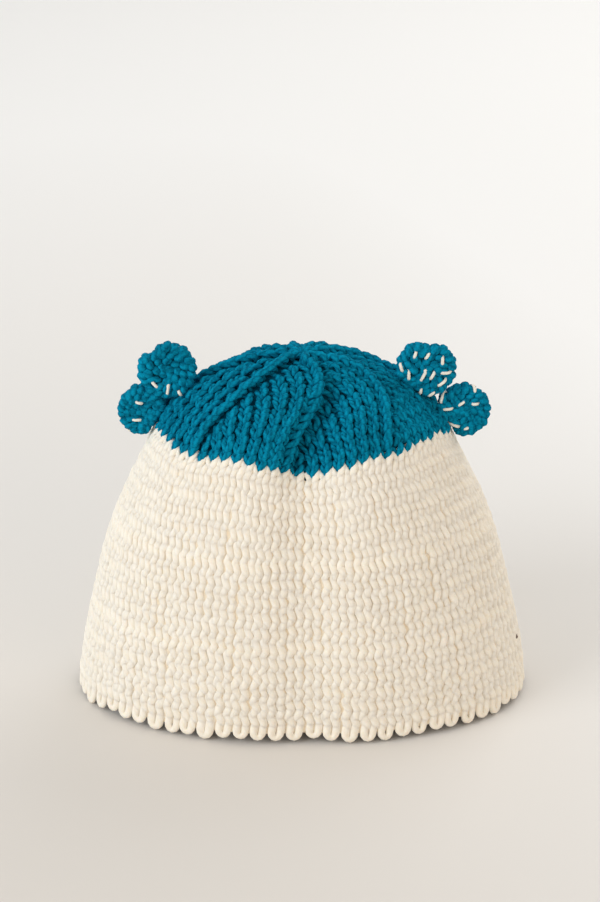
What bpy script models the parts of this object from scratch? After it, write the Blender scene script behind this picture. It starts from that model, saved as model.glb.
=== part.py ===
"""Knitted baby hat: a cream body, a teal crown with eight decrease ridges and two pairs of crocheted petals.

Metres, +Z up. The hat rests on its hem at z = 0, and its front faces -Y.
"""

import math

import bmesh
import bpy
import numpy as np
from mathutils import Vector
from mathutils.bvhtree import BVHTree

# Overall sizes, measured on the outside
HEM_WIDTH = 0.1616
HEM_DEPTH = 0.0920
BORDER_WIDTH = 0.1042
BORDER_DEPTH = 0.0770
BODY_HEIGHT = 0.0985
CROWN_RISE = 0.0300

# Knitting
WALL = 0.0032
GAP = 0.0003
SEAT_GAP = 1.5 * GAP
EDGE_GAP = 1.2 * GAP
STITCHES = 64
SECTIONS = 8
PLAIN_ROWS = 5
DECREASE_ROWS = 16
SEAM_TURN = -0.014
SCALLOP = 0.0013
TOOTH = 0.0022

# Decrease ridges and the fold down the front
RIDGE_HEIGHT = 0.0011
GROOVE_DEPTH = 0.0010
FOLD_DEPTH = 0.0042
FOLD_WIDTH = 0.0125
TOP_DENT = 0.0010

# The body from the hem up: height as a share of BODY_HEIGHT, narrowing from the hem's width and depth (0)
# to the border's (1), how much of the fold's depth is there, and where its middle lies as a share of the
# half width
BODY_SECTIONS = (
    ("height", "narrow_width", "narrow_depth", "fold", "fold_middle"),
    (0.00, 0.00, 0.00, 0.45, 0.02),
    (0.20, 0.10, -0.06, 0.55, 0.03),
    (0.43, 0.27, 0.02, 0.70, 0.04),
    (0.64, 0.46, 0.18, 0.85, 0.04),
    (0.78, 0.64, 0.38, 1.00, 0.03),
    (0.89, 0.82, 0.66, 1.00, 0.03),
    (1.00, 1.00, 1.00, 0.90, 0.02),
)

# The crown from the border up: rise as a share of CROWN_RISE, spread as a share of the border's width and
# depth, and how much of TWIST the columns lean to the right, which is most at TWIST_SIDE from the front
CROWN_SECTIONS = (
    ("rise", "spread", "fold", "fold_middle", "twist"),
    (0.00, 1.00, 0.90, 0.02, 0.00),
    (0.20, 0.94, 0.80, 0.06, 0.03),
    (0.42, 0.84, 0.65, 0.12, 0.10),
    (0.62, 0.69, 0.45, 0.18, 0.27),
    (0.80, 0.49, 0.20, 0.20, 0.50),
    (0.92, 0.28, 0.05, 0.20, 0.75),
    (1.00, 0.00, 0.00, 0.20, 1.00),
)
TWIST = math.radians(68.0)
TWIST_SIDE = math.radians(70.0)

# The petals: side of the hat, where on the crown's rise it is sewn, the way it stands (degrees above level,
# outward), half sizes along and across that way as shares of PETAL_RADIUS, how much of its length the base is
# pressed flat, where the notch in the rim is (degrees from the way it stands) and how deep, and how far back
# the petal sits as a share of PETAL_THICKNESS
PETAL_RADIUS = 0.0100
PETAL_THICKNESS = 0.0052
PETAL_CUP = 0.0012
PETAL_RIM = 0.62
PETAL_SCALLOPS = 10
PETAL_SCALLOP_DEPTH = 0.05
NOTCH_WIDTH = 0.28
PETALS = (
    ("name", "side", "sewn_at", "stands", "long", "wide", "pressed", "notch_at", "notch", "back"),
    ("right_upper_petal", 1, 0.48, 88.0, 0.99, 1.02, 0.00, -4.0, 0.22, -0.12),
    ("right_lower_petal", 1, 0.27, 2.0, 0.91, 0.92, 0.16, 50.0, 0.03, 0.19),
    ("left_upper_petal", -1, 0.51, 58.0, 0.98, 1.00, 0.00, -5.0, 0.24, -0.12),
    ("left_lower_petal", -1, 0.27, 2.0, 0.82, 0.88, 0.14, 50.0, 0.03, 0.19),
)

# Mesh fineness
POINTS_PER_STITCH = 2
HEM_POINTS = 4
BODY_LEVELS = 8
PETAL_SIDES = 40
PETAL_RINGS = (0.93, 0.72, 0.40)
ROUND_STEPS = 720
CROWN_STEPS = 120
SLOPE_STEP = 0.02

CREAM = (0.83, 0.79, 0.69, 1.0)
TEAL = (0.005, 0.13, 0.22, 1.0)
YARN_ROUGHNESS = 0.85


def column(table, name):
    """One named column of a table, as an array."""
    place = table[0].index(name)
    return np.array([row[place] for row in table[1:]], dtype=float)


def smooth(table, along, name, share):
    """A column read at a share of another one, along a smooth curve through the table's rows."""
    at = column(table, along)
    value = column(table, name)
    steps = np.diff(at)
    slopes = np.diff(value) / steps
    inner = (slopes[:-1] * steps[1:] + slopes[1:] * steps[:-1]) / (steps[:-1] + steps[1:])
    tangent = np.concatenate(([slopes[0]], inner, [slopes[-1]]))
    i = int(np.clip(np.searchsorted(at, share, side="right") - 1, 0, len(steps) - 1))
    t = (share - at[i]) / steps[i]
    start = (2 * t**3 - 3 * t**2 + 1) * value[i] + (t**3 - 2 * t**2 + t) * steps[i] * tangent[i]
    end = (3 * t**2 - 2 * t**3) * value[i + 1] + (t**3 - t**2) * steps[i] * tangent[i + 1]
    return float(start + end)


def oval_angle(turn, half_wide, half_deep):
    """The oval's angle from the front at a share of its way round, so that the stitches are evenly wide."""
    angles = np.linspace(-math.pi, math.pi, ROUND_STEPS + 1)
    pace = np.hypot(half_wide * np.cos(angles), half_deep * np.sin(angles))
    length = np.concatenate(([0.0], np.cumsum((pace[1:] + pace[:-1]) / 2)))
    turn = (turn + 0.5) % 1.0
    return float(np.interp(turn, length / length[-1], angles))


def body_size(share):
    """The body's half width, half depth, height, fold depth, fold middle and twist at a share of its height."""
    across = smooth(BODY_SECTIONS, "height", "narrow_width", share)
    deep = smooth(BODY_SECTIONS, "height", "narrow_depth", share)
    half_wide = (HEM_WIDTH + (BORDER_WIDTH - HEM_WIDTH) * across) / 2
    half_deep = (HEM_DEPTH + (BORDER_DEPTH - HEM_DEPTH) * deep) / 2
    fold = FOLD_DEPTH * smooth(BODY_SECTIONS, "height", "fold", share)
    middle = half_wide * smooth(BODY_SECTIONS, "height", "fold_middle", share)
    return half_wide, half_deep, BODY_HEIGHT * share, fold, middle, 0.0


def crown_size(share):
    """The same for the crown, at a share of its rise."""
    spread = smooth(CROWN_SECTIONS, "rise", "spread", share)
    half_wide = BORDER_WIDTH / 2 * spread
    fold = FOLD_DEPTH * smooth(CROWN_SECTIONS, "rise", "fold", share)
    middle = BORDER_WIDTH / 2 * smooth(CROWN_SECTIONS, "rise", "fold_middle", share)
    twist = TWIST * smooth(CROWN_SECTIONS, "rise", "twist", share)
    return half_wide, BORDER_DEPTH / 2 * spread, BODY_HEIGHT + CROWN_RISE * share, fold, middle, twist


def folded(x, y, fold, middle):
    """A point of the front pushed in by the fold down the middle."""
    front = max(0.0, -y) / (BORDER_DEPTH / 2)
    dent = fold * math.exp(-(((x - middle) / FOLD_WIDTH) ** 2)) * min(1.0, front)
    return y + dent


def surface(size, share, turn, inward=0.0, raised=0.0):
    """A point of the hat's wall: inward is its depth under the outer face, and raised stands out from it."""
    half_wide, half_deep, height, fold, middle, twist = size(share)
    angle = oval_angle(turn, half_wide, half_deep)
    angle += twist * (1 + math.cos(angle - TWIST_SIDE)) / 2
    x = half_wide * math.sin(angle)
    y = folded(x, -half_deep * math.cos(angle), fold, middle)
    offset = raised - inward
    if offset:
        low = size(max(0.0, share - SLOPE_STEP))
        high = size(min(1.0, share + SLOPE_STEP))
        rise = high[2] - low[2]
        out_x = math.sin(angle) / half_wide
        out_y = -math.cos(angle) / half_deep
        flat = math.hypot(out_x, out_y)
        narrowing = (low[0] + low[1] - high[0] - high[1]) / 2
        normal = Vector((out_x / flat * rise, out_y / flat * rise, narrowing)).normalized()
        return Vector((x, y, height)) + normal * offset
    return Vector((x, y, height))


def zip_rings(bm, first, second):
    """Triangles between two closed rings of (turn, vert), whatever their counts, the lower ring first."""
    i = 0
    j = 0
    while i < len(first) or j < len(second):
        a = first[i % len(first)][1]
        b = second[j % len(second)][1]
        next_first = first[i][0] if i < len(first) else math.inf
        next_second = second[j][0] if j < len(second) else math.inf
        after_first = first[i + 1][0] if i + 1 < len(first) else 1.0
        after_second = second[j + 1][0] if j + 1 < len(second) else 1.0
        if next_second == math.inf or (next_first != math.inf and after_first <= after_second):
            bm.faces.new((a, first[(i + 1) % len(first)][1], b))
            i += 1
        else:
            bm.faces.new((a, second[(j + 1) % len(second)][1], b))
            j += 1


def fan(bm, ring, point):
    """Triangles from a ring to one point above it."""
    top = bm.verts.new(point)
    for i, (_, vert) in enumerate(ring):
        bm.faces.new((vert, ring[(i + 1) % len(ring)][1], top))


def material(name, colour):
    made = bpy.data.materials.new(name)
    made.use_nodes = True
    shader = made.node_tree.nodes["Principled BSDF"]
    shader.inputs["Base Color"].default_value = colour
    shader.inputs["Roughness"].default_value = YARN_ROUGHNESS
    shader.inputs["Metallic"].default_value = 0.0
    return made


def finish(bm, name, made, parent):
    """The mesh as a named object with its faces pointing out."""
    bmesh.ops.recalc_face_normals(bm, faces=bm.faces)
    mesh = bpy.data.meshes.new(name)
    bm.to_mesh(mesh)
    bm.free()
    mesh.shade_smooth()
    mesh.materials.append(made)
    thing = bpy.data.objects.new(name, mesh)
    bpy.context.collection.objects.link(thing)
    thing.parent = parent
    return thing


def ring_turns(count):
    return [i / count for i in range(count)]


def body_ring(bm, share, turns, inward, lifted=None):
    """A ring of the body. lifted gives each point's extra height, as for the scallops and the teeth."""
    ring = []
    for i, turn in enumerate(turns):
        point = surface(body_size, share, turn + SEAM_TURN, inward)
        if share == 0.0:
            point.z = 0.0
        point.z += lifted(i) if lifted else 0.0
        ring.append((turn, bm.verts.new(point)))
    return ring


def scallop(i):
    """The hem's loops: three points of each four stand on the floor, and the last makes the notch between."""
    return SCALLOP if i % HEM_POINTS == HEM_POINTS - 1 else 0.0


def tooth(i):
    """The border's zigzag: the body has a peak at each stitch."""
    return TOOTH / 2 if i % POINTS_PER_STITCH == 0 else -TOOTH / 2


def hat_body(made, parent):
    """The cream wall, from the scalloped hem to the zigzag border, open below and above."""
    bm = bmesh.new()
    turns = ring_turns(STITCHES * POINTS_PER_STITCH)
    hem_turns = ring_turns(STITCHES * HEM_POINTS)
    sides = []
    for inward in (0.0, WALL):
        rings = [body_ring(bm, 0.0, hem_turns, inward, scallop)]
        for level in range(1, BODY_LEVELS):
            rings.append(body_ring(bm, level / BODY_LEVELS, turns, inward))
        rings.append(body_ring(bm, 1.0, turns, inward, tooth))
        for lower, upper in zip(rings, rings[1:]):
            zip_rings(bm, lower, upper)
        sides.append(rings)
    outer, inner = sides
    zip_rings(bm, inner[0], outer[0])
    zip_rings(bm, inner[-1], outer[-1])
    return finish(bm, "body", made, parent)


def ridge(i, per_section):
    """The raised cord at the start of each section, and the groove on its right."""
    place = i % per_section
    if place == 0:
        return RIDGE_HEIGHT
    if place == 1:
        return -GROOVE_DEPTH
    return 0.0


def crown_rings():
    """Share of the rise and stitches in a section, for each ring from the border to the gathered top."""
    in_section = STITCHES // SECTIONS
    shares = np.linspace(0.0, 1.0, CROWN_STEPS + 1)
    sizes = [crown_size(share) for share in shares]
    steps = [math.hypot(high[0] - low[0], high[2] - low[2]) for low, high in zip(sizes, sizes[1:])]
    run = np.concatenate(([0.0], np.cumsum(steps))) / sum(steps)
    rows = PLAIN_ROWS + DECREASE_ROWS
    rows_each = DECREASE_ROWS / in_section
    heights = [(0.0, in_section), (PLAIN_ROWS / 2, in_section)]
    heights += [(PLAIN_ROWS + rows_each * fewer, in_section - fewer) for fewer in range(in_section)]
    return [(float(np.interp(row / rows, run, shares)), count) for row, count in heights]


def crown_side(bm, inward):
    """One face of the crown's wall, from its zigzag edge to the gathered top."""
    rings = []
    half_stitch = math.pi * (BORDER_WIDTH + BORDER_DEPTH) / 4 / STITCHES
    lift = EDGE_GAP * math.hypot(1.0, TOOTH / half_stitch)
    for level, (share, in_section) in enumerate(crown_rings()):
        per_section = in_section * POINTS_PER_STITCH
        turns = ring_turns(per_section * SECTIONS)
        ring = []
        for i, turn in enumerate(turns):
            fade = min(1.0, level / 2, in_section / 3) if inward == 0.0 else 0.0
            raised = ridge(i, per_section) * fade
            point = surface(crown_size, share, turn + SEAM_TURN, inward, raised)
            if level == 0:
                point.z += tooth(i) + lift
            ring.append((turn, bm.verts.new(point)))
        rings.append(ring)
    for lower, upper in zip(rings, rings[1:]):
        zip_rings(bm, lower, upper)
    top = Vector((0.0, 0.0, BODY_HEIGHT + CROWN_RISE - inward - (TOP_DENT if inward == 0.0 else 0.0)))
    fan(bm, rings[-1], top)
    return rings[0]


def hat_crown(made, parent):
    """The teal wall, hollow below, closed by the gather on top."""
    bm = bmesh.new()
    outer = crown_side(bm, 0.0)
    inner = crown_side(bm, WALL)
    zip_rings(bm, inner, outer)
    return finish(bm, "crown", made, parent)


def petal_reach(angle, row):
    """The rim's distance from the middle at an angle from the way the petal stands, with scallops and notch."""
    oval = PETAL_RADIUS / math.hypot(math.cos(angle) / row["long"], math.sin(angle) / row["wide"])
    away = (angle - math.radians(row["notch_at"]) + math.pi) % (2 * math.pi) - math.pi
    notch = 1 - row["notch"] * math.exp(-((away / NOTCH_WIDTH) ** 2))
    scallops = 1 - PETAL_SCALLOP_DEPTH * (1 - abs(math.cos(PETAL_SCALLOPS * angle / 2)))
    return oval * notch * scallops


def petal_point(row, middle, angle, reach, share, face):
    """A point of the petal's front (face -1), rim (0) or back (1), at a share of the way to the rim."""
    way = math.radians(row["stands"]) + angle
    bulge = PETAL_THICKNESS / 2 * math.sqrt(1 - (share * PETAL_RIM) ** 2)
    y = row["back"] * PETAL_THICKNESS + face * bulge - PETAL_CUP * share**2
    across = row["side"] * reach * share * math.cos(way)
    return Vector((middle.x + across, y, middle.z + reach * share * math.sin(way)))


def room(point, walls):
    """The point's distance outside the nearest wall, negative inside."""
    near, normal, _, away = min((wall.find_nearest(point) for wall in walls), key=lambda found: found[3])
    return math.copysign(away, (point - near).dot(normal))


def pressed_reach(row, middle, angle, walls):
    """The rim's distance at an angle, shortened where the petal is sewn against the hat or its neighbour."""
    reach = petal_reach(angle, row)
    low = 0.0
    high = reach
    for _ in range(14):
        rim = [petal_point(row, middle, angle, high, 1.0, face) for face in (-1, 0, 1)]
        if min(room(point, walls) for point in rim) >= SEAT_GAP:
            low = high
            high = min(reach, (high + reach) / 2)
        else:
            high = (low + high) / 2
    return low


def petal(row, made, parent, walls):
    """One crocheted petal: a padded disc with a scalloped rim, its base shaped to the hat."""
    bm = bmesh.new()
    half_wide, _, height, _, _, _ = crown_size(row["sewn_at"])
    way = math.radians(row["stands"])
    out = Vector((row["side"] * math.cos(way), 0.0, math.sin(way)))
    standing = PETAL_RADIUS * row["long"] * (1 - row["pressed"])
    middle = Vector((row["side"] * half_wide, 0.0, height)) + out * standing
    angles = [2 * math.pi * i / PETAL_SIDES for i in range(PETAL_SIDES)]
    reaches = [pressed_reach(row, middle, angle, walls) for angle in angles]

    def ring(share, face):
        verts = [
            bm.verts.new(petal_point(row, middle, angle, reach, share, face))
            for angle, reach in zip(angles, reaches)
        ]
        return [(i / PETAL_SIDES, vert) for i, vert in enumerate(verts)]

    rim = ring(1.0, 0)
    for face in (-1, 1):
        lower = rim
        for share in PETAL_RINGS:
            upper = ring(share, face)
            zip_rings(bm, lower, upper)
            lower = upper
        fan(bm, lower, petal_point(row, middle, 0.0, 0.0, 0.0, face))
    return finish(bm, row["name"], made, parent)


def centre(parent, things):
    """Moves the hat so that its box is centred on the origin, and stands it on z = 0."""
    points = [thing.matrix_world @ vert.co for thing in things for vert in thing.data.vertices]
    low = [min(point[axis] for point in points) for axis in range(3)]
    high = [max(point[axis] for point in points) for axis in range(3)]
    parent.location = (-(low[0] + high[0]) / 2, -(low[1] + high[1]) / 2, -low[2])


def main():
    for thing in list(bpy.data.objects):
        bpy.data.objects.remove(thing)
    parent = bpy.data.objects.new("hat", None)
    bpy.context.collection.objects.link(parent)
    cream = material("cream_yarn", CREAM)
    teal = material("teal_yarn", TEAL)
    body = hat_body(cream, parent)
    crown = hat_crown(teal, parent)
    graph = bpy.context.evaluated_depsgraph_get()
    walls = [BVHTree.FromObject(thing, graph) for thing in (crown, body)]
    petals = []
    for values in PETALS[1:]:
        made = petal(dict(zip(PETALS[0], values)), teal, parent, walls)
        graph.update()
        walls.append(BVHTree.FromObject(made, graph))
        petals.append(made)
    centre(parent, [body, crown, *petals])


main()
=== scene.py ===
import math

import bpy
import numpy as np
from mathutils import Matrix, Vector


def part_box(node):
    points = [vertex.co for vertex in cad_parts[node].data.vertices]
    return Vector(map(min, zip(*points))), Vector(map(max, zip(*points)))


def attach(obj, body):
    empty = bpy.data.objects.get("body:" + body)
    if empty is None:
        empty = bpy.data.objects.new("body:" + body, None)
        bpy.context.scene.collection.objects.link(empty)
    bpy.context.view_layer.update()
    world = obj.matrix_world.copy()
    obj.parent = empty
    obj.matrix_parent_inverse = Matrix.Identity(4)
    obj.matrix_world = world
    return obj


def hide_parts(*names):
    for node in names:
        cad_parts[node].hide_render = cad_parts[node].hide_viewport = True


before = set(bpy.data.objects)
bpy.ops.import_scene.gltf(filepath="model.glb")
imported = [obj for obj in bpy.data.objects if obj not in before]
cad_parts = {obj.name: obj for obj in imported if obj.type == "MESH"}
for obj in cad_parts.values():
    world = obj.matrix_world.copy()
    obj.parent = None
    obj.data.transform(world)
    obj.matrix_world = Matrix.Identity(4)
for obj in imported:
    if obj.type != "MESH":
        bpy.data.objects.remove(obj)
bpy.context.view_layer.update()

# The hat's outer face in metres, laid out by stitches and rows: 34 cream rows, then the teal crown
hat = {
    "hemWidth": 0.1616,
    "hemDepth": 0.0920,
    "borderWidth": 0.1042,
    "borderDepth": 0.0770,
    "bodyHeight": 0.0985,
    "crownRise": 0.0300,
    "foldDepth": 0.0042,
    "foldWidth": 0.0125,
    "twist": math.radians(68),
    "twistSide": math.radians(70),
    "seamTurn": -0.014,
    "stitches": 64,
    "sections": 8,
    "hemLift": 0.0036,
    "bodyRows": 34,
    "crownRows": 18,
    "plainRows": 2,
}
# From the hem up: share of the height, narrowing from the hem's size (0) to the border's (1),
# and the front fold
bodySections = {
    "at": (0.00, 0.20, 0.43, 0.64, 0.78, 0.89, 1.00),
    "narrowWidth": (0.00, 0.10, 0.27, 0.46, 0.64, 0.82, 1.00),
    "narrowDepth": (0.00, -0.06, 0.02, 0.18, 0.38, 0.66, 1.00),
    "fold": (0.45, 0.60, 0.85, 1.10, 1.20, 1.10, 0.90),
    "foldMiddle": (0.02, 0.03, 0.04, 0.04, 0.03, 0.03, 0.02),
}
# From the border up: share of the rise, spread as a share of the border, the fold,
# and how far the columns lean round
crownSections = {
    "at": (0.00, 0.20, 0.42, 0.62, 0.80, 0.92, 1.00),
    "spread": (1.00, 0.94, 0.84, 0.69, 0.49, 0.28, 0.00),
    "fold": (0.90, 0.80, 0.65, 0.45, 0.20, 0.05, 0.00),
    "foldMiddle": (0.02, 0.06, 0.12, 0.18, 0.20, 0.20, 0.20),
    "twist": (0.00, 0.03, 0.10, 0.27, 0.50, 0.75, 1.00),
}
# The crease up the front, beside a decrease line: how far the cloth falls back and sags in it and bulges
# to its left, where it lies and how wide its two slopes are as shares of a turn, and its fade over the rows
crease = {
    "depth": 0.0090,
    "bulge": 0.0014,
    "bulgeAt": 0.8,
    "sag": 0.0034,
    "turn": -0.004,
    "left": 0.023,
    "right": 0.034,
    "rows": (24, 31, 34, 37, 43, 47),
    "fade": (0.0, 0.08, 0.45, 1.0, 0.8, 0.0),
}
# How the colour change waves across the front: (turn, rows up), and how that fades out above and below it
border = {
    "wave": (
        (-0.30, 0.0), (-0.22, 0.8), (-0.13, 0.4), (-0.07, 1.1), (-0.03, 0.1), (0.01, -0.7),
        (0.04, 0.0), (0.09, 1.1), (0.15, 1.5), (0.20, 1.5), (0.25, 0.1), (0.30, 0.0),
    ),
    "rows": (10, 22, 30, 34, 38, 48),
    "fade": (0.0, 0.35, 0.85, 1.0, 0.85, 0.0),
}
# How finely the face is laid out, by points for each row and round it, and the rows below the first one
layout = {"perRow": 5, "around": 768, "ovalSteps": 1440, "runSteps": 400, "belowHem": 1, "leastSize": 1e-6}
noLength = 1e-15  # no normal is shorter than this
pointLength = 1e-9  # a row whose normals are all shorter is one point


def smoothColumn(sections, name, share):  # a column of a table, read along a smooth curve through its rows
    at = np.array(sections["at"])
    value = np.array(sections[name])
    step = np.diff(at)
    slope = np.diff(value) / step
    inner = (slope[:-1] * step[1:] + slope[1:] * step[:-1]) / (step[:-1] + step[1:])
    tangent = np.concatenate(([slope[0]], inner, [slope[-1]]))
    i = np.clip(np.searchsorted(at, share, side="right") - 1, 0, len(step) - 1)
    t = (share - at[i]) / step[i]
    start = (2 * t**3 - 3 * t**2 + 1) * value[i] + (t**3 - 2 * t**2 + t) * step[i] * tangent[i]
    end = (3 * t**2 - 2 * t**3) * value[i + 1] + (t**3 - t**2) * step[i] * tangent[i + 1]
    return start + end


def bodySize(share):  # half width, half depth, height, fold, fold's middle and twist
    narrowing = smoothColumn(bodySections, "narrowWidth", share)
    wide = (hat["hemWidth"] + (hat["borderWidth"] - hat["hemWidth"]) * narrowing) / 2
    narrowing = smoothColumn(bodySections, "narrowDepth", share)
    deep = (hat["hemDepth"] + (hat["borderDepth"] - hat["hemDepth"]) * narrowing) / 2
    fold = hat["foldDepth"] * smoothColumn(bodySections, "fold", share)
    middle = wide * smoothColumn(bodySections, "foldMiddle", share)
    return wide, deep, hat["bodyHeight"] * share, fold, middle, 0 * share


def crownSize(share):
    spread = smoothColumn(crownSections, "spread", share)
    fold = hat["foldDepth"] * smoothColumn(crownSections, "fold", share)
    middle = hat["borderWidth"] / 2 * smoothColumn(crownSections, "foldMiddle", share)
    twist = hat["twist"] * smoothColumn(crownSections, "twist", share)
    height = hat["bodyHeight"] + hat["crownRise"] * share
    return hat["borderWidth"] / 2 * spread, hat["borderDepth"] / 2 * spread, height, fold, middle, twist


def evenShares(size, start, count):  # shares that lie evenly far apart along the wall
    share = np.linspace(0, 1, layout["runSteps"])
    wide, deep, height = size(share)[:3]
    step = np.sqrt(np.diff(height) ** 2 + (np.diff(wide) ** 2 + np.diff(deep) ** 2) / 2)
    run = np.concatenate(([0], np.cumsum(step)))
    return np.interp(np.linspace(start, run[-1], count), run, share)


class Cloth:  # a round surface laid out by row and turn, and the way out of it
    def __init__(self, points, firstRow, perRow):
        self.points = points
        self.firstRow = firstRow
        self.perRow = perRow
        along = np.roll(points, -1, axis=1) - np.roll(points, 1, axis=1)
        normal = np.cross(along, np.gradient(points, axis=0))
        length = np.linalg.norm(normal, axis=2, keepdims=True)
        normal = normal / np.maximum(length, noLength)
        for end, inside in ((0, 1), (-1, -2)):
            if length[end].max() < pointLength:
                normal[end] = normal[inside].mean(axis=0)
        self.normals = normal

    def at(self, row, turn, depth):  # the points at a depth under the face, and the way out there
        rows, around = self.points.shape[:2]
        last = rows - 1.001  # just short of the last row of points
        r = np.clip((row - self.firstRow) * self.perRow, 0, last)
        c = (turn % 1.0) * around
        i = r.astype(int)
        j = c.astype(int) % around
        k = (j + 1) % around
        a = (r - i)[..., None]
        b = (c - np.floor(c))[..., None]

        def mixed(grid):
            low = grid[i, j] * (1 - b) + grid[i, k] * b
            high = grid[i + 1, j] * (1 - b) + grid[i + 1, k] * b
            return low * (1 - a) + high * a

        normal = mixed(self.normals)
        normal /= np.linalg.norm(normal, axis=-1, keepdims=True)
        return mixed(self.points) - normal * np.asarray(depth)[..., None], normal


def hatCloth():
    perRow = layout["perRow"]
    bodyShares = evenShares(bodySize, hat["hemLift"], hat["bodyRows"] * perRow + 1)
    crownShares = evenShares(crownSize, 0, hat["crownRows"] * perRow + 1)[1:]
    hemShares = np.linspace(0, bodyShares[0], layout["belowHem"] * perRow + 1)[:-1]
    lower = np.stack(bodySize(np.concatenate((hemShares, bodyShares))))
    size = np.concatenate((lower, np.stack(crownSize(crownShares))), axis=1)
    around = layout["around"]
    turns = np.arange(around) / around
    fine = np.linspace(-math.pi, math.pi, layout["ovalSteps"] + 1)
    points = np.zeros((size.shape[1], around, 3))
    for k, (wide, deep, height, fold, middle, twist) in enumerate(size.T):
        least = layout["leastSize"]
        pace = np.hypot(max(wide, least) * np.cos(fine), max(deep, least) * np.sin(fine))
        run = np.concatenate(([0], np.cumsum((pace[1:] + pace[:-1]) / 2)))
        angle = np.interp((turns + 0.5) % 1.0, run / run[-1], fine)
        angle = angle + twist * (1 + np.cos(angle - hat["twistSide"])) / 2
        x = wide * np.sin(angle)
        y = -deep * np.cos(angle)
        front = np.clip(-y / (hat["borderDepth"] / 2), 0, 1)
        y = y + fold * np.exp(-(((x - middle) / hat["foldWidth"]) ** 2)) * front
        row = k / perRow - layout["belowHem"]
        fade = np.interp(row, crease["rows"], crease["fade"])
        away = (turns - crease["turn"] + 0.5) % 1.0 - 0.5
        drop = np.exp(-((away / np.where(away > 0, crease["right"], crease["left"])) ** 2))
        bulge = np.exp(-(((away + crease["right"] * crease["bulgeAt"]) / crease["right"]) ** 2))
        y = y + fade * (crease["depth"] * drop - crease["bulge"] * bulge)
        points[k] = np.stack((x, y, height - fade * crease["sag"] * drop), axis=1)
    points[:, :, 1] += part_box("body")[1].y - size[1].max()  # the part's box is centred on the origin
    return Cloth(points, -layout["belowHem"], perRow)


def waved(row, turn):  # rows moved so that the colour change lies as in the photograph
    rise = np.interp((turn + 0.5) % 1.0 - 0.5, *zip(*border["wave"]))
    return row + rise * np.interp(row, border["rows"], border["fade"])


wall = hatCloth()
print("hat laid out by rows and stitches")

# Yarn paths: one stitch is a row of points, each (across in stitches, up in rows, out in yarn depths,
# thickness). Big and small cream rows take turns, and their legs lean opposite ways in a zigzag
creamBig = (
    (-0.50, 0.00, -1.10, 0.92),
    (-0.13, 0.02, -0.90, 0.92),
    (-0.12, 0.34, 0.66, 1.00),
    (-0.15, 0.80, 1.00, 1.05),
    (-0.25, 1.28, 1.00, 1.06),
    (-0.34, 1.76, 0.70, 1.00),
    (-0.33, 2.08, -0.10, 0.94),
    (-0.10, 2.24, -1.00, 0.90),
    (0.12, 2.10, -0.10, 0.94),
    (0.15, 1.76, 0.62, 0.98),
    (0.23, 1.28, 0.92, 1.02),
    (0.325, 0.80, 0.94, 1.02),
    (0.35, 0.34, 0.64, 1.00),
    (0.29, 0.02, -0.85, 0.92),
)
creamSmall = (
    (-0.50, 0.06, -1.10, 0.92),
    (-0.31, 0.08, -0.90, 0.92),
    (-0.355, 0.42, 0.60, 0.98),
    (-0.32, 0.84, 0.88, 1.02),
    (-0.23, 1.28, 0.86, 1.02),
    (-0.14, 1.66, 0.50, 0.98),
    (-0.04, 1.92, -0.95, 0.90),
    (0.30, 1.78, -0.20, 0.94),
    (0.33, 1.44, 0.72, 1.00),
    (0.245, 0.92, 0.86, 1.02),
    (0.16, 0.46, 0.62, 0.98),
    (0.13, 0.08, -0.85, 0.92),
)
# The last cream row, whose right legs stand up between the teal stitches
creamBorder = (
    (-0.50, 0.10, -1.00, 0.92),
    (-0.10, 0.18, -0.75, 0.88),
    (-0.12, 0.55, 0.30, 0.92),
    (-0.25, 1.00, 0.55, 0.86),
    (-0.40, 1.46, 0.40, 0.74),
    (-0.42, 1.68, -0.50, 0.70),
    (0.00, 1.45, -1.60, 0.90),
    (0.40, 1.84, -0.60, 0.70),
    (0.43, 1.66, 0.45, 0.82),
    (0.37, 1.34, 0.95, 0.98),
    (0.28, 0.92, 1.05, 1.08),
    (0.18, 0.50, 0.60, 1.02),
    (0.10, 0.18, -0.65, 0.90),
)
# The cast-on edge: long loops that hang side by side
creamHem = (
    (-0.50, 1.75, -1.00, 0.88),
    (-0.30, 1.80, -0.60, 0.90),
    (-0.15, 1.55, 0.30, 0.98),
    (-0.20, 1.00, 0.75, 1.00),
    (-0.245, 0.24, 0.80, 0.96),
    (-0.17, -0.16, 0.78, 0.92),
    (0.00, -0.31, 0.72, 0.90),
    (0.17, -0.16, 0.78, 0.92),
    (0.245, 0.24, 0.80, 0.96),
    (0.29, 1.00, 0.75, 1.00),
    (0.33, 1.55, 0.30, 0.98),
    (0.42, 1.80, -0.60, 0.90),
)
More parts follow.
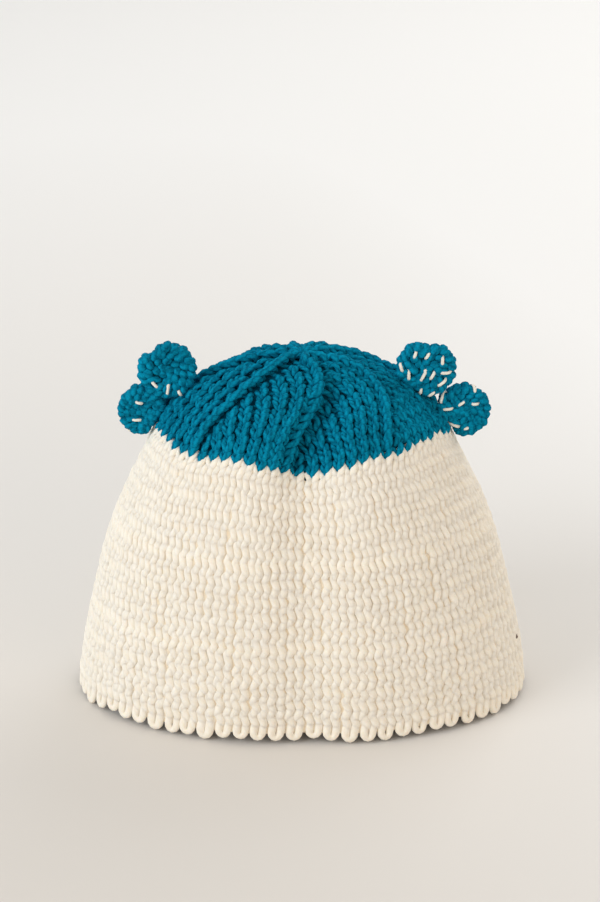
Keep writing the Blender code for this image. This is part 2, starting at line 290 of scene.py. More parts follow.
# In the crown the right legs are thick cords, and the left legs are thinner and lie lower
tealBig = (
    (-0.50, 0.10, -0.95, 0.90),
    (-0.17, 0.18, -0.80, 0.80),
    (-0.18, 0.55, 0.35, 0.86),
    (-0.27, 1.00, 0.90, 0.96),
    (-0.36, 1.38, 0.40, 0.86),
    (-0.35, 1.66, -0.60, 0.80),
    (-0.06, 1.80, -0.95, 0.88),
    (0.22, 1.74, -0.40, 0.95),
    (0.27, 1.36, 0.85, 1.10),
    (0.21, 0.92, 1.20, 1.18),
    (0.08, 0.48, 0.70, 1.06),
    (0.00, 0.16, -0.60, 0.88),
)
tealSmall = (
    (-0.50, 0.10, -0.95, 0.90),
    (-0.17, 0.18, -0.80, 0.78),
    (-0.18, 0.52, 0.05, 0.80),
    (-0.26, 0.86, 0.35, 0.84),
    (-0.33, 1.15, 0.00, 0.80),
    (-0.32, 1.45, -0.70, 0.78),
    (-0.06, 1.60, -0.95, 0.86),
    (0.24, 1.54, -0.45, 0.92),
    (0.30, 1.20, 0.70, 1.05),
    (0.23, 0.84, 1.00, 1.12),
    (0.09, 0.46, 0.60, 1.04),
    (0.00, 0.16, -0.65, 0.88),
)
# The tubes: sides round the yarn, rings for each stitch, its thickness through the cloth as a share of its
# width, how far the tip of a cut end stands out, and the bare margin beside each strip of the OFBake map
yarn = {"sides": 8, "perStitch": 16, "flat": 0.80, "tip": 0.35, "margin": 0.04}
# Both fabrics: the yarn's thickness, how much slimmer it gets by the border, how deep its middle lies,
# and how long a step outwards is
creamKnit = {"thick": 0.00300, "slimmer": 0.25, "middle": 0.00154, "outStep": 0.00050}
tealKnit = {"thick": 0.00196, "slimmer": 0.0, "middle": 0.00160, "outStep": 0.00110}
# How uneven the knitting is: slow drifts over the whole fabric, each wave (times round the hat, times in
# ten rows), and each stitch and leg for itself
uneven = {
    "waves": ((3, 0.21), (7, 0.47), (11, 0.13), (17, 0.83), (26, 0.34)),
    "driftAcross": 0.030,
    "driftUp": 0.12,
    "driftOut": 0.13,
    "across": 0.028,
    "up": 0.060,
    "out": 0.110,
    "thick": 0.055,
}
seeds = {"drift": 5, "bands": 11, "crown": 31, "petals": 51}
# The decrease lines: a raised cord of right legs, and a groove to its right where columns run in under it
ridge = {
    "lift": 0.95,
    "thicker": 0.22,
    "legWidth": 0.2,
    "legDepth": -0.6,
    "sink": 1.7,
    "reach": 0.7,
    "mostUnder": 1.2,
    "fadeRows": 2.5,
    "keep": 0.62,
    "least": 0.8,
}


def catmull(control, times):  # a closed smooth curve through the control points
    count = len(control)
    i = np.floor(times).astype(int)
    t = (times - i)[:, None]
    p0, p1, p2, p3 = (control[(i + k) % count] for k in (-1, 0, 1, 2))
    bend = (2 * p0 - 5 * p1 + 4 * p2 - p3) * t**2 + (3 * p1 - p0 - 3 * p2 + p3) * t**3
    return 0.5 * (2 * p1 + (p2 - p0) * t + bend)


def closedCurve(turn, rest, perPoint):  # a smooth closed path once round, where the turn grows by one
    count = len(turn)
    even = np.arange(count) / count
    unwrapped = np.unwrap(turn * 2 * math.pi) / (2 * math.pi)
    control = np.column_stack((unwrapped - even, rest))
    times = np.arange(round(count * perPoint)) / perPoint
    path = catmull(control, times)
    path[:, 0] += times / count
    return path


def tubeRings(line, normal, radius, closed=True):  # rings of points round a yarn's middle line
    if closed:
        tangent = np.roll(line, -1, axis=0) - np.roll(line, 1, axis=0)
    else:
        tangent = np.gradient(line, axis=0)
    tangent /= np.linalg.norm(tangent, axis=1, keepdims=True)
    side = np.zeros_like(line)
    start = np.cross(tangent[0], normal[0])
    side[0] = start / np.linalg.norm(start)
    for i in range(1, len(line)):
        carried = side[i - 1] - tangent[i] * np.dot(side[i - 1], tangent[i])
        side[i] = carried / np.linalg.norm(carried)
    other = np.cross(tangent, side)
    angle = 2 * math.pi * np.arange(yarn["sides"]) / yarn["sides"]
    out = side[:, None, :] * np.cos(angle)[None, :, None] + other[:, None, :] * np.sin(angle)[None, :, None]
    deep = np.sum(out * normal[:, None, :], axis=2, keepdims=True)
    out = out - (1 - yarn["flat"]) * deep * normal[:, None, :]
    return line[:, None, :] + out * radius[:, None, None]


class YarnMesh:  # gathers tubes into one mesh, with the yarn's run and the way round it as a UV map
    def __init__(self):
        self.verts = []
        self.faces = []
        self.spans = []
        self.count = 0
        self.length = 0.0

    def put(self, verts, faces, spans):
        self.verts.append(verts)
        self.faces.append(faces + np.where(faces >= 0, self.count, 0))
        self.spans.append(spans)
        self.count += len(verts)

    def add(self, line, normal, radius, closed=True):
        rings = tubeRings(line, normal, radius, closed)
        count, sides = rings.shape[:2]
        ends = line if not closed else np.concatenate((line, line[:1]))
        run = np.concatenate(([0], np.cumsum(np.linalg.norm(np.diff(ends, axis=0), axis=1)))) + self.length
        self.length = run[-1]
        i = np.arange(len(run) - 1)[:, None]
        j = np.arange(sides)[None, :]
        after = (i + 1) % count
        beside = (j + 1) % sides
        here = i * sides
        there = after * sides
        quad = np.stack((here + j, there + j, there + beside, here + beside), axis=2)
        low = np.broadcast_to(run[i], quad.shape[:2])
        high = np.broadcast_to(run[i + 1], quad.shape[:2])
        first = np.broadcast_to(j, quad.shape[:2])
        spans = np.stack((low, high, high, low, first, first, first + 1, first + 1), axis=2)
        verts = rings.reshape(-1, 3)
        faces = quad.reshape(-1, 4)
        spans = spans.reshape(-1, 8)
        if not closed:
            side = np.arange(sides)
            for ring, start in ((0, True), (count - 1, False)):
                beyond = rings[1 if start else count - 2].mean(axis=0)
                middle = rings[ring].mean(axis=0)
                verts = np.concatenate((verts, (middle + yarn["tip"] * (middle - beyond))[None]))
                tip = np.full(sides, len(verts) - 1)
                near = ring * sides + side
                other = ring * sides + (side + 1) % sides
                corners = (other, near, tip) if start else (near, other, tip)
                faces = np.concatenate((faces, np.column_stack((*corners, np.full(sides, -1)))))
                across = np.column_stack((side, side + 1, side, side))
                spans = np.concatenate((spans, np.column_stack((np.full((sides, 4), run[ring]), across))))
        self.put(verts, faces, spans)

    def skin(self, grid, capped):  # rows of points joined into one closed surface, capped or end to end
        rows, around = grid.shape[:2]
        i = np.arange(rows - 1)[:, None]
        j = np.arange(around)[None, :]
        beside = (j + 1) % around
        after = i + 1 if capped else (i + 1) % (rows - 1)
        verts = (grid if capped else grid[:-1]).reshape(-1, 3)
        here = i * around
        there = after * around
        quad = np.stack((here + j, here + beside, there + beside, there + j), axis=2)
        step = np.linalg.norm(np.diff(grid, axis=0), axis=2).mean(axis=1)
        run = np.concatenate(([0], np.cumsum(step))) + self.length
        self.length = run[-1]
        low = np.broadcast_to(run[i], quad.shape[:2])
        high = np.broadcast_to(run[i + 1], quad.shape[:2])
        first = np.broadcast_to(j, quad.shape[:2]) * yarn["sides"] / around
        wide = yarn["sides"] / around
        second = first + wide
        spans = np.stack((low, low, high, high, first, second, second, first), axis=2).reshape(-1, 8)
        faces = quad.reshape(-1, 4)
        for ring, turned in ((0, True), (rows - 1, False)) if capped else ():
            verts = np.concatenate((verts, grid[ring].mean(axis=0)[None]))
            near = ring * around + j[0]
            other = ring * around + beside[0]
            corners = (other, near) if turned else (near, other)
            middle = np.full((around, 2), (len(verts) - 1, -1))
            faces = np.concatenate((faces, np.column_stack((*corners, middle))))
            spans = np.concatenate((spans, np.full((around, 8), (run[ring],) * 4 + (0, wide, wide, 0))))
        self.put(verts, faces, spans)

    def build(self, name, material):
        verts = np.concatenate(self.verts)
        quads = np.concatenate(self.faces)
        spans = np.concatenate(self.spans)
        keep = quads >= 0
        mesh = bpy.data.meshes.new(name)
        mesh.vertices.add(len(verts))
        mesh.vertices.foreach_set("co", verts.astype(np.float32).ravel())
        mesh.loops.add(int(keep.sum()))
        mesh.loops.foreach_set("vertex_index", quads[keep].astype(np.int32))
        mesh.polygons.add(len(quads))
        starts = np.concatenate(([0], np.cumsum(keep.sum(axis=1))[:-1]))
        mesh.polygons.foreach_set("loop_start", starts.astype(np.int32))
        mesh.update(calc_edges=True)
        run = spans[:, :4]
        across = spans[:, 4:] / yarn["sides"]
        self.uvMap(mesh, "yarnRun", run * 1000, across, keep)  # along in millimetres
        strips = math.ceil(math.sqrt(self.length / (math.pi * creamKnit["thick"])))
        stripLength = self.length / strips
        strip = np.floor(run.mean(axis=1, keepdims=True) / stripLength)
        along = np.clip(run / stripLength - strip, 0, 1)
        inStrip = yarn["margin"] + (1 - 2 * yarn["margin"]) * across
        self.uvMap(mesh, "OFBake", along, (strip + inStrip) / strips, keep)
        mesh.polygons.foreach_set("use_smooth", np.ones(len(quads), bool))
        mesh.validate()
        mesh.materials.append(material)
        return addPiece(name, mesh)

    def uvMap(self, mesh, name, u, v, keep):
        values = np.stack((u, v), axis=2)[keep]
        mesh.uv_layers.new(name=name).data.foreach_set("uv", values.astype(np.float32).ravel())


def addPiece(name, mesh):
    thing = bpy.data.objects.new(name, mesh)
    bpy.context.collection.objects.link(thing)
    return thing


def inSection(row):  # stitches in each section: 8 up to the crown, and fewer row by row up it
    whole = hat["stitches"] / hat["sections"]
    first = hat["bodyRows"] + hat["plainRows"]
    last = hat["bodyRows"] + hat["crownRows"]
    share = np.clip((row - first) / (last - first), 0, 1)
    return np.maximum(whole * (1 - share), ridge["least"])


def columnTurn(section, fromRight, across, row):  # where round the hat a point of a column is
    place = (fromRight + 0.5 - across) / inSection(row)
    return (section + 1 - place) / hat["sections"] + hat["seamTurn"]


driftPhase = np.random.default_rng(seeds["drift"]).uniform(0, 2 * math.pi, (3, len(uneven["waves"])))


def drift(turn, row, kind):  # slow changes in the knitter's tension, across, up or out
    total = 0
    for (timesRound, inTenRows), phase in zip(uneven["waves"], driftPhase[kind]):
        total = total + np.sin(2 * math.pi * (turn * timesRound + row * inTenRows / 10) + phase)
    return total / math.sqrt(len(uneven["waves"]) / 2)


def stitchRow(row, path, knit, rng):  # one closed row of loops round the hat
    inRow = max(1, int(inSection(row + 0.5) + ridge["keep"]))
    section = np.repeat(np.arange(hat["sections"]), inRow)
    fromRight = np.tile(np.arange(inRow)[::-1], hat["sections"])
    count = len(section)
    points = np.repeat(np.array(path)[None], count, axis=0)
    across, up, out, thickness = (points[:, :, i] for i in range(4))
    turn = columnTurn(section, fromRight, 0, row)
    across += (drift(turn, row, 0) * uneven["driftAcross"] + rng.normal(0, uneven["across"], count))[:, None]
    up += (drift(turn, row, 1) * uneven["driftUp"] + rng.normal(0, uneven["up"], count))[:, None]
    leg = rng.normal(0, uneven["out"], (count, 2))
    leftLeg = np.array(path)[:, 0] < 0
    ownOut = np.where(leftLeg[None, :], leg[:, :1], leg[:, 1:])
    out += ownOut + (drift(turn, row, 2) * uneven["driftOut"])[:, None]
    thickness *= 1 + rng.normal(0, uneven["thick"], count)[:, None]
    fade = np.clip((row + up - hat["bodyRows"]) / ridge["fadeRows"], 0, 1)
    rightLeg = np.clip(across / ridge["legWidth"] + 0.5, 0, 1) * (out > ridge["legDepth"])
    rising = fade * (fromRight == 0)[:, None] * rightLeg
    out += ridge["lift"] * rising
    thickness += ridge["thicker"] * rising
    fromCord = inSection(row + up) - (fromRight[:, None] + 0.5 - across)
    under = np.clip((ridge["reach"] - fromCord) / ridge["reach"], 0, ridge["mostUnder"])
    out -= ridge["sink"] * fade * under
    turn = columnTurn(section[:, None], fromRight[:, None], across, row + up)
    rest = np.column_stack(((row + up).ravel(), out.ravel(), thickness.ravel()))
    line = closedCurve(turn.ravel(), rest, yarn["perStitch"] / len(path))
    depth = knit["middle"] - line[:, 2] * knit["outStep"]
    place, normal = wall.at(waved(line[:, 1], line[:, 0]), line[:, 0], depth)
    slim = 1 - knit["slimmer"] * row / hat["bodyRows"]
    return place, normal, line[:, 3] * slim * knit["thick"] / 2


def rowStitch(row):
    if row == 0:
        return creamHem
    if row == hat["bodyRows"] - 1:
        return creamBorder
    if row < hat["bodyRows"]:
        return creamBig if row % 2 else creamSmall
    return tealBig if row % 2 else tealSmall


def knitBand(name, rows, knit, material, seed):
    rng = np.random.default_rng(seed)
    made = YarnMesh()
    for row in rows:
        made.add(*stitchRow(row, rowStitch(row), knit, rng))
    band = made.build(name, material)
    print(name, "knitted:", sum(len(face.vertices) - 2 for face in band.data.polygons), "triangles")
    return band


class Shade:  # a socket that adds Math nodes when it is worked with
    def __init__(self, tree, socket):
        self.tree = tree
        self.socket = socket

    def maths(self, operation, *values):
        node = self.tree.nodes.new("ShaderNodeMath")
        node.operation = operation
        for i, value in enumerate(values):
            if isinstance(value, Shade):
                self.tree.links.new(value.socket, node.inputs[i])
            else:
                node.inputs[i].default_value = value
        return Shade(self.tree, node.outputs[0])

    def other(self, name):  # another output of the same node
        return Shade(self.tree, self.socket.node.outputs[name])

    def __add__(self, value):
        return self.maths("ADD", self, value)

    def __radd__(self, value):
        return self.maths("ADD", value, self)

    def __sub__(self, value):
        return self.maths("SUBTRACT", self, value)

    def __rsub__(self, value):
        return self.maths("SUBTRACT", value, self)

    def __mul__(self, value):
        return self.maths("MULTIPLY", self, value)

    def __rmul__(self, value):
        return self.maths("MULTIPLY", value, self)

    def __pow__(self, value):
        return self.maths("POWER", self, value)


colourMix = {"factor": 0, "low": 6, "high": 7, "result": 2}  # the Mix node's sockets for colours


class Finish:  # a material, and one method for every node but Math
    def __init__(self, name):
        self.material = bpy.data.materials.new(name)
        self.material.use_nodes = True
        self.tree = self.material.node_tree
        self.shader = self.tree.nodes["Principled BSDF"]

    def fill(self, inputs, sockets):
        for key, value in sockets.items():
            if isinstance(value, Shade):
                self.tree.links.new(value.socket, inputs[key])
            else:
                inputs[key].default_value = value

    def node(self, kind, settings, sockets, out=0):
        made = self.tree.nodes.new(kind)
        for key, value in settings.items():
            setattr(made, key, value)
        self.fill(made.inputs, sockets)
        return Shade(self.tree, made.outputs[out])

    def blend(self, factor, low, high):  # a colour between two
        sockets = {colourMix["factor"]: factor, colourMix["low"]: low, colourMix["high"]: high}
        return self.node("ShaderNodeMix", {"data_type": "RGBA"}, sockets, colourMix["result"])

    def shade(self, sockets):
        self.fill(self.shader.inputs, sockets)
        return self.material


# Spun cotton: plies winding round the yarn with painted shade between them, fine fibres, slow changes of
# colour
creamSpin = {
    "name": "creamYarn",
    "deep": (0.90, 0.82, 0.69, 1),
    "pale": (0.98, 0.935, 0.85, 1),
    "plies": 3,
    "pitch": 0.09,
    "relief": 0.00010,
    "glow": 0.25,
    "gloss": 0.0,
    "speck": True,
}
tealSpin = {
    "name": "tealYarn",
    "deep": (0.0005, 0.035, 0.075, 1),
    "pale": (0.0025, 0.350, 0.570, 1),
    "plies": 3,
    "pitch": 0.13,
    "relief": 0.00030,
    "glow": 0.0,
    "gloss": 0.02,
    "speck": False,
}
# A speck of dark lint at the right edge, as in the photograph
lint = {"row": 6.7, "turn": 0.231, "reach": 0.0011, "soft": 0.0003, "colour": (0.10, 0.06, 0.05, 1)}
# How much plies, hairs and slow patches each give to the colour and the relief;
# the plies' part of the colour is painted shade between them
fibre = {
    "hairScale": 1500.0,
    "hairDetail": 3.0,
    "patchScale": 70.0,
    "patchDetail": 2.0,
    "plyRound": 0.6,
    "plyShadeWeight": 0.35,
    "hairColour": 0.9,
    "patchColour": 0.5,
    "darker": 0.38,
    "plyHeight": 0.7,
    "hairHeight": 0.4,
    "bump": 0.6,
    "roughness": 0.9,
    "roughDrift": 0.1,
    "glowRadius": (0.0012, 0.0010, 0.0008),
}


def yarnFinish(spin):
    made = Finish(spin["name"])
    along = made.node("ShaderNodeUVMap", {"uv_map": "yarnRun"}, {})
    along = made.node("ShaderNodeSeparateXYZ", {}, {"Vector": along})
    wind = (along * spin["pitch"] + along.other("Y")) * (2 * math.pi * spin["plies"])
    ply = (wind.maths("SINE", wind) * 0.5 + 0.5) ** fibre["plyRound"]
    spot = made.node("ShaderNodeTexCoord", {}, {}, "Object")
    hairNoise = {"Vector": spot, "Scale": fibre["hairScale"], "Detail": fibre["hairDetail"]}
    hairs = made.node("ShaderNodeTexNoise", {}, hairNoise)
    patchNoise = {"Vector": spot, "Scale": fibre["patchScale"], "Detail": fibre["patchDetail"]}
    patch = made.node("ShaderNodeTexNoise", {}, patchNoise)
    # painted shade: the ply term darkens the colour where the relief dips; hairs and patches give the yarn's
    # own uneven tone
    plyShadeAndTone = ply * fibre["plyShadeWeight"] + hairs * fibre["hairColour"] + patch * fibre["patchColour"]
    colour = made.blend(plyShadeAndTone - fibre["darker"], spin["deep"], spin["pale"])
    if spin["speck"]:
        place = wall.at(np.array([lint["row"]]), np.array([lint["turn"]]), 0)[0][0]
        ends = {0: spot, 1: tuple(place)}
        apart = made.node("ShaderNodeVectorMath", {"operation": "DISTANCE"}, ends, "Value")
        colour = made.blend((lint["reach"] - apart) * (1 / lint["soft"]), colour, lint["colour"])
    height = ply * fibre["plyHeight"] + hairs * fibre["hairHeight"]
    relief = {"Height": height, "Strength": fibre["bump"], "Distance": spin["relief"]}
    return made.shade({
        "Base Color": colour,
        "Roughness": hairs * fibre["roughDrift"] + (fibre["roughness"] - fibre["roughDrift"] / 2),
        "Normal": made.node("ShaderNodeBump", {}, relief),
        "Specular IOR Level": spin["gloss"],
        "Subsurface Weight": spin["glow"],
        "Subsurface Radius": fibre["glowRadius"],
        "Subsurface Scale": 1.0,
    })


# Darker, warmer copies of the same yarns, as yarn deep in the fabric looks: painted shade for the shell
# under the loops
creamShaded = {
    **creamSpin,
    "name": "creamShadedYarn",
    "deep": (0.82, 0.68, 0.50, 1),
    "pale": (0.92, 0.82, 0.67, 1),
}
tealShaded = {**tealSpin, "name": "tealShadedYarn", "pale": (0.001, 0.10, 0.17, 1)}
creamYarn = yarnFinish(creamSpin)
tealYarn = yarnFinish(tealSpin)
creamShadedYarn = yarnFinish(creamShaded)
tealShadedYarn = yarnFinish(tealShaded)
print("yarns spun")

# The ground shell that the loops sit in, in the darker yarn copies as painted shade between the loops: how
# deep it lies under the cream and the teal, how fine it is, and the rows that it leaves free at the hem,
# between the colours and at the top
ground = {
    "creamDepth": 0.0010,
    "tealDepth": 0.0023,
    "thick": 0.0008,
    "around": 256,
    "perRow": 2,
    "relief": 0.00018,
    "hemFree": 0.3,
    "crownDown": 0.3,
    "between": 0.1,
    "topFree": 0.3,
}


def groundShell(name, span, capped, depth, material):
    first, last = span
    rows = np.linspace(first, last, round((last - first) * ground["perRow"]) + 1)
    turns = np.arange(ground["around"]) / ground["around"]
    row, turn = np.meshgrid(rows, turns, indexing="ij")
    relief = ground["relief"] * np.cos(2 * math.pi * row) * np.cos(2 * math.pi * hat["stitches"] * turn)
    outer = wall.at(waved(row, turn), turn, depth + relief)[0]
    inner = wall.at(waved(row, turn), turn, depth + ground["thick"] + relief)[0]
    grids = (inner[::-1], outer) if capped else (outer, inner[::-1], outer[:1])
    made = YarnMesh()
    made.skin(np.concatenate(grids), capped)
    return made.build(name, material)


crownStart = hat["bodyRows"] - ground["crownDown"]
bodySpan = (ground["hemFree"], crownStart - ground["between"])
crownSpan = (crownStart, hat["bodyRows"] + hat["crownRows"] - ground["topFree"])
# both ground shells wear the shaded yarn copies, as painted shade between the loops
bodyGround = groundShell("body_ground", bodySpan, False, ground["creamDepth"], creamShadedYarn)
crownGround = groundShell("crown_ground", crownSpan, True, ground["tealDepth"], tealShadedYarn)
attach(bodyGround, "root")
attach(crownGround, "root")

bandRows = {"hem_band": range(0, 11), "middle_band": range(11, 22), "upper_band": range(22, hat["bodyRows"])}
for number, (name, rows) in enumerate(bandRows.items()):
    band = knitBand(name, rows, creamKnit, creamYarn, seeds["bands"] + number)
    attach(band, "root")
    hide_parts("body")
crownRows = range(hat["bodyRows"], hat["bodyRows"] + hat["crownRows"] - 1)
crownKnit = knitBand("crown_knit", crownRows, tealKnit, tealYarn, seeds["crown"])
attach(crownKnit, "root")
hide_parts("crown")

# The yarn's end, drawn through the last loops and pulled tight
gather = {"radius": 0.0021, "depth": 0.0013, "points": 36, "waves": 8, "wave": 0.0005}


def gatherRing():
    turn = np.arange(gather["points"]) / gather["points"] * 2 * math.pi
    top = wall.points[-1].mean(axis=0)
    reach = gather["radius"] + gather["wave"] * np.cos(gather["waves"] * turn)
    lift = gather["wave"] * np.sin(gather["waves"] * turn) - gather["depth"]
    line = top + np.column_stack((reach * np.sin(turn), -reach * np.cos(turn), lift))
    normal = np.tile((0.0, 0.0, 1.0), (len(line), 1))
    made = YarnMesh()
    made.add(line, normal, np.full(len(line), tealKnit["thick"] / 2))
    return made.build("gather_yarn", tealYarn)


gatherYarn = gatherRing()
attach(gatherYarn, "root")


def flatSize(size):  # the wall laid flat: width round it, length up it, and area
    share = np.linspace(0, 1, layout["runSteps"])
    wide, deep, height = size(share)[:3]
    around = math.pi * (3 * (wide + deep) - np.sqrt((3 * wide + deep) * (wide + 3 * deep)))
    step = np.sqrt(np.diff(height) ** 2 + (np.diff(wide) ** 2 + np.diff(deep) ** 2) / 2)
    area = float(((around[1:] + around[:-1]) / 2 * step).sum())
    return (float(around.max()), float(step.sum())), area


bodyFlat, bodyArea = flatSize(bodySize)
crownFlat, crownArea = flatSize(crownSize)
print("hat knitted")

# The petals: crochet in rounds from the middle of each face out to the rim, over a flat stuffed core
petalCrochet = {
    "inRound": (4, 8, 13, 18),
    "perStitch": 12,
    "thick": 0.00235,
    "halfThick": 0.0026,
    "cup": 0.0012,
    "middle": 0.00115,
    "outStep": 0.00085,
    "firstRow": 0.12,
    "around": 144,
    "perRow": 6,
    "rimPower": 4,
    "uneven": 0.10,
    "unevenAcross": 0.5,
    "coreDepth": 0.0017,
    "coreAround": 48,
    "corePerRow": 2,
    "coreStart": 0.15,
}
crochetStitch = (
    (-0.50, 0.62, -1.30, 0.80),
    (-0.30, 0.36, -0.25, 0.95),
    (-0.10, 0.42, 1.00, 1.16),
    (0.10, 0.66, 1.10, 1.18),
    (0.28, 0.84, -0.15, 0.95),
    (0.40, 0.76, -1.20, 0.80),
)
# The rim is whipped over: how many lumps, how far they reach over each face in rows, and out in metres
rimWhip = {
    "lumps": 21,
    "perLump": 14,
    "over": 0.62,
    "lean": 0.25,
    "depth": 0.0019,
    "out": 0.0016,
    "thick": 0.0025,
    "uneven": 0.05,
    "unevenSpots": 13,
}
# The cream running stitches: (across, up, lean in degrees, length), from the petal's middle and with the
# lengths in shares of stitchScale
stitchScale = 0.010
creamStitches = {
    "right_upper": (
        (-0.40, 0.61, 70, 0.22), (0.02, 0.57, 60, 0.20), (0.54, 0.38, 90, 0.22), (-0.85, 0.15, 105, 0.26),
        (-0.60, -0.15, 92, 0.28), (-0.09, -0.15, 62, 0.44), (0.22, -0.15, 62, 0.28), (0.64, -0.04, 5, 0.31),
        (0.54, -0.42, 40, 0.28), (-0.16, -0.72, 95, 0.20), (0.19, -0.80, 35, 0.25),
    ),
    "right_lower": (
        (-0.74, 0.49, 68, 0.32), (-0.62, 0.11, 3, 0.36), (-0.14, 0.30, 32, 0.29), (0.35, 0.30, 5, 0.19),
        (-0.38, -0.45, -30, 0.40), (0.07, -0.61, 15, 0.12), (0.28, 0.80, -60, 0.15),
    ),
    "left_upper": ((-0.42, -0.45, -48, 0.26), (0.03, -0.61, 82, 0.36), (0.42, -0.76, -65, 0.14)),
    "left_lower": ((-0.07, 0.34, -8, 0.21), (-0.17, -0.30, -3, 0.29), (-0.45, -0.72, -45, 0.12)),
}
thread = {
    "thick": 0.00108,
    "points": 11,
    "rise": 0.0008,
    "dip": 0.0010,
    "dipPower": 4,
    "longer": 1.32,
    "leastShare": 0.05,
}


class Petal:  # a crocheted petal in the place of its solid
    def __init__(self, name, seed):
        self.name = name
        self.rng = np.random.default_rng(seed)
        self.rounds = len(petalCrochet["inRound"])
        low, high = (np.array(corner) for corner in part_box(name + "_petal"))
        self.middle = (low + high) / 2
        self.middle[1] = high[1] - petalCrochet["halfThick"]
        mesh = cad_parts[name + "_petal"].data
        flat = np.array([vert.co[:] for vert in mesh.vertices])[:, (0, 2)] - self.middle[[0, 2]]
        self.edges = flat[np.array([edge.vertices[:] for edge in mesh.edges])]
        self.cloth = self.layOut()

    def reach(self, way):  # the solid's rim as seen from the front, at an angle from level
        ahead = np.array((math.cos(way), math.sin(way)))
        off = self.edges[:, :, 0] * ahead[1] - self.edges[:, :, 1] * ahead[0]
        meets = off[:, 0] * off[:, 1] < 0
        share = off[meets, 0] / (off[meets, 0] - off[meets, 1])
        spots = self.edges[meets, 0] + share[:, None] * (self.edges[meets, 1] - self.edges[meets, 0])
        return (spots @ ahead).max()

    def layOut(self):  # rows from the front's middle over the rim to the back's middle
        ways = math.pi / 2 - 2 * math.pi * np.arange(petalCrochet["around"]) / petalCrochet["around"]
        reach = np.array([self.reach(way) for way in ways])
        tilt = np.linspace(-1, 1, 2 * self.rounds * petalCrochet["perRow"] + 1)
        run = 1 - np.abs(tilt)
        power = petalCrochet["rimPower"]
        thick = np.sign(tilt) * (1 - run**power) ** (1 / power)
        y = petalCrochet["halfThick"] * thick - petalCrochet["cup"] * run**2
        points = np.empty((len(tilt), len(ways), 3))
        points[:, :, 0] = run[:, None] * reach * np.cos(ways)
        points[:, :, 1] = y[:, None]
        points[:, :, 2] = run[:, None] * reach * np.sin(ways)
        return Cloth(points + self.middle, 0, petalCrochet["perRow"])

    def crochetRound(self, number, back):
        count = petalCrochet["inRound"][number]
        points = np.repeat(np.array(crochetStitch)[None], count, axis=0)
        across, up, out, thickness = (points[:, :, i] for i in range(4))
        for values, share in ((across, petalCrochet["unevenAcross"]), (up, 1), (out, 1), (thickness, 1)):
            values += self.rng.normal(0, petalCrochet["uneven"], count)[:, None] * share
        turn = (np.arange(count)[:, None] + 0.5 * (number % 2) + 0.5 + across) / count
        row = np.clip(number + up, petalCrochet["firstRow"], None)
        rest = np.column_stack((row.ravel(), out.ravel(), thickness.ravel()))
        line = closedCurve(turn.ravel(), rest, petalCrochet["perStitch"] / len(crochetStitch))
        row = 2 * self.rounds - line[:, 1] if back else line[:, 1]
        depth = petalCrochet["middle"] - line[:, 2] * petalCrochet["outStep"]
        place, normal = self.cloth.at(row, line[:, 0], depth)
        return place, normal, line[:, 3] * petalCrochet["thick"] / 2

    def rimLine(self):  # one strand that winds over the rim from face to face
        count = rimWhip["lumps"] * rimWhip["perLump"]
        turn = np.arange(count) / count
        phase = turn * rimWhip["lumps"] * 2 * math.pi
        turn = turn + rimWhip["lean"] * np.sin(phase) / rimWhip["lumps"]
        row = self.rounds + rimWhip["over"] * np.sin(phase)
        depth = rimWhip["depth"] - rimWhip["out"] * np.cos(phase)
        place, normal = self.cloth.at(row, turn, depth)
        spots = np.linspace(0, 1, rimWhip["unevenSpots"])
        lump = np.interp(turn, spots, self.rng.normal(1, rimWhip["uneven"], len(spots)))
        return place, normal, lump * rimWhip["thick"] / 2

    def core(self):  # the stuffing's skin, seen between the stitches
        last = 2 * self.rounds
        rows = np.linspace(0, last, last * petalCrochet["corePerRow"] + 1)
        rows[0] = petalCrochet["coreStart"]
        rows[-1] = last - petalCrochet["coreStart"]
        turns = np.arange(petalCrochet["coreAround"]) / petalCrochet["coreAround"]
        row, turn = np.meshgrid(rows, turns, indexing="ij")
        return self.cloth.at(row, turn, np.full(row.shape, petalCrochet["coreDepth"]))[0]

    def crochet(self):
        made = YarnMesh()
        for back in (False, True):
            for number in range(self.rounds):
                made.add(*self.crochetRound(number, back))
        made.add(*self.rimLine())
        made.skin(self.core(), True)
        return made.build(self.name + "_crochet", tealYarn)

    def runningStitches(self):
        made = YarnMesh()
        for across, up, lean, length in creamStitches[self.name]:
            share = np.linspace(-0.5, 0.5, thread["points"])
            run = share * length * thread["longer"]
            x = (across + run * math.cos(math.radians(lean))) * stitchScale
            z = (up + run * math.sin(math.radians(lean))) * stitchScale
            way = np.arctan2(z, x)
            reach = np.array([self.reach(angle) for angle in way])
            row = np.clip(np.hypot(x, z) / reach, thread["leastShare"], 1.0) * self.rounds
            depth = (2 * share) ** thread["dipPower"] * (thread["dip"] + thread["rise"]) - thread["rise"]
            turn = 0.25 - way / (2 * math.pi)  # turns start at the top of the petal
            place, normal = self.cloth.at(row, turn, depth)
            made.add(place, normal, np.full(len(place), thread["thick"] / 2), closed=False)
        return made.build(self.name + "_thread", creamYarn)


for number, name in enumerate(creamStitches):
    petal = Petal(name, seeds["petals"] + number)
    crochet = petal.crochet()
    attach(crochet, "root")
    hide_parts(name + "_petal")
    stitches = petal.runningStitches()
    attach(stitches, "root")
print("petals crocheted")

# The photograph's view: 600 by 902 pixels, and the middle of the picture on the hat
view = {
    "pixels": 600,
    "perPixel": 0.000346,
    "away": 0.80,
    "down": math.radians(24),
    "target": (-0.0007, 0.0, 0.0909),
    "sensor": 36,
    "nearest": 0.01,
}


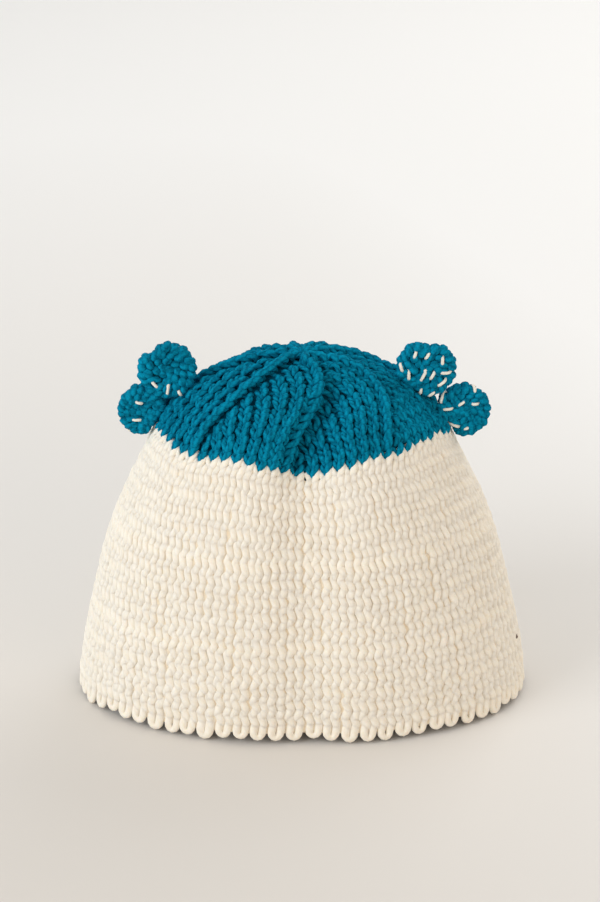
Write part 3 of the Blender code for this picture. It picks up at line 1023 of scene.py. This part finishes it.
def photoCamera():
    camera = bpy.data.cameras.new("photoCamera")
    camera.sensor_fit = "HORIZONTAL"
    camera.sensor_width = view["sensor"]
    camera.lens = camera.sensor_width * view["away"] / (view["pixels"] * view["perPixel"])
    camera.clip_start = view["nearest"]
    thing = bpy.data.objects.new("photoCamera", camera)
    bpy.context.collection.objects.link(thing)
    back = Vector((0, -math.cos(view["down"]), math.sin(view["down"])))
    thing.location = Vector(view["target"]) + back * view["away"]
    thing.rotation_euler = (math.pi / 2 - view["down"], 0, 0)
    bpy.context.scene.camera = thing


# The lamps: (name, place, what it points at, size, power, colour)
studio = {
    "world": (1.0, 0.975, 0.93, 1),
    "worldStrength": 0.61,
    "lamps": (
        ("windowLight", (-1.3, -0.9, 0.8), (0.0, 0.0, 0.06), 1.0, 13.3, (0.965, 0.985, 1.0)),
        ("roomLight", (0.9, -1.3, 0.5), (0.0, 0.0, 0.06), 1.0, 3.7, (1.0, 0.70, 0.43)),
        ("backLight", (0.75, 0.95, 1.05), (0.4, 0.35, 0.0), 1.2, 6.8, (1.0, 0.99, 0.97)),
    ),
}
# The paper sweep: its form, and painted light: a tone that turns paler towards the back and the right and
# darker towards the front
paper = {
    "front": -1.6,
    "bend": 1.6,
    "radius": 0.6,
    "bendSteps": 16,
    "height": 2.4,
    "half": 2.2,
    "shadedNearTone": (0.730, 0.700, 0.665, 1),
    "litFarTone": (0.940, 0.945, 0.950, 1),
    "toneFrom": -0.2,
    "toneTo": 0.7,
    "lean": 2.4,
    "leanSoft": 0.1,
    "roughness": 0.85,
    "grain": 0.1,
    "grainScale": 300.0,
}


def setLights():
    world = bpy.data.worlds.new("studioWorld")
    world.use_nodes = True
    world.node_tree.nodes["Background"].inputs[0].default_value = studio["world"]
    world.node_tree.nodes["Background"].inputs[1].default_value = studio["worldStrength"]
    bpy.context.scene.world = world
    for name, place, target, size, power, colour in studio["lamps"]:
        lamp = bpy.data.lights.new(name, "AREA")
        lamp.size = size
        lamp.energy = power
        lamp.color = colour
        thing = bpy.data.objects.new(name, lamp)
        bpy.context.collection.objects.link(thing)
        thing.location = place
        thing.rotation_euler = (Vector(target) - thing.location).to_track_quat("-Z", "Y").to_euler()
    bpy.context.scene.view_settings.view_transform = "Standard"


def paperFinish():
    made = Finish("paperFloor")
    spot = made.node("ShaderNodeTexCoord", {}, {}, "Object")
    grain = made.node("ShaderNodeTexNoise", {}, {"Vector": spot, "Scale": paper["grainScale"]})
    across = made.node("ShaderNodeSeparateXYZ", {}, {"Vector": spot})
    # painted light: the paper is paler further back and to the right, and darker near the front as painted
    # shade
    right = across.maths("SMOOTH_MAX", across, 0.0, paper["leanSoft"])
    away = across.other("Y") + right * paper["lean"]
    share = (away - paper["toneFrom"]) * (1 / (paper["toneTo"] - paper["toneFrom"]))
    colour = made.blend(share, paper["shadedNearTone"], paper["litFarTone"])
    return made.shade({"Base Color": colour, "Roughness": grain * paper["grain"] + paper["roughness"]})


def layFloor():
    side = [(paper["front"], 0.0), (paper["bend"], 0.0)]
    for i in range(1, paper["bendSteps"] + 1):
        angle = math.pi / 2 * i / paper["bendSteps"]
        y = paper["bend"] + paper["radius"] * math.sin(angle)
        z = paper["radius"] * (1 - math.cos(angle))
        side.append((y, z))
    side.append((paper["bend"] + paper["radius"], paper["height"]))
    verts = [(x, y, z) for y, z in side for x in (-paper["half"], paper["half"])]
    faces = [(2 * i, 2 * i + 1, 2 * i + 3, 2 * i + 2) for i in range(len(side) - 1)]
    mesh = bpy.data.meshes.new("floor")
    mesh.from_pydata(verts, [], faces)
    mesh.shade_smooth()
    mesh.materials.append(paperFinish())
    addPiece("floor", mesh)


photoCamera()
setLights()
layFloor()
print("camera and studio set")
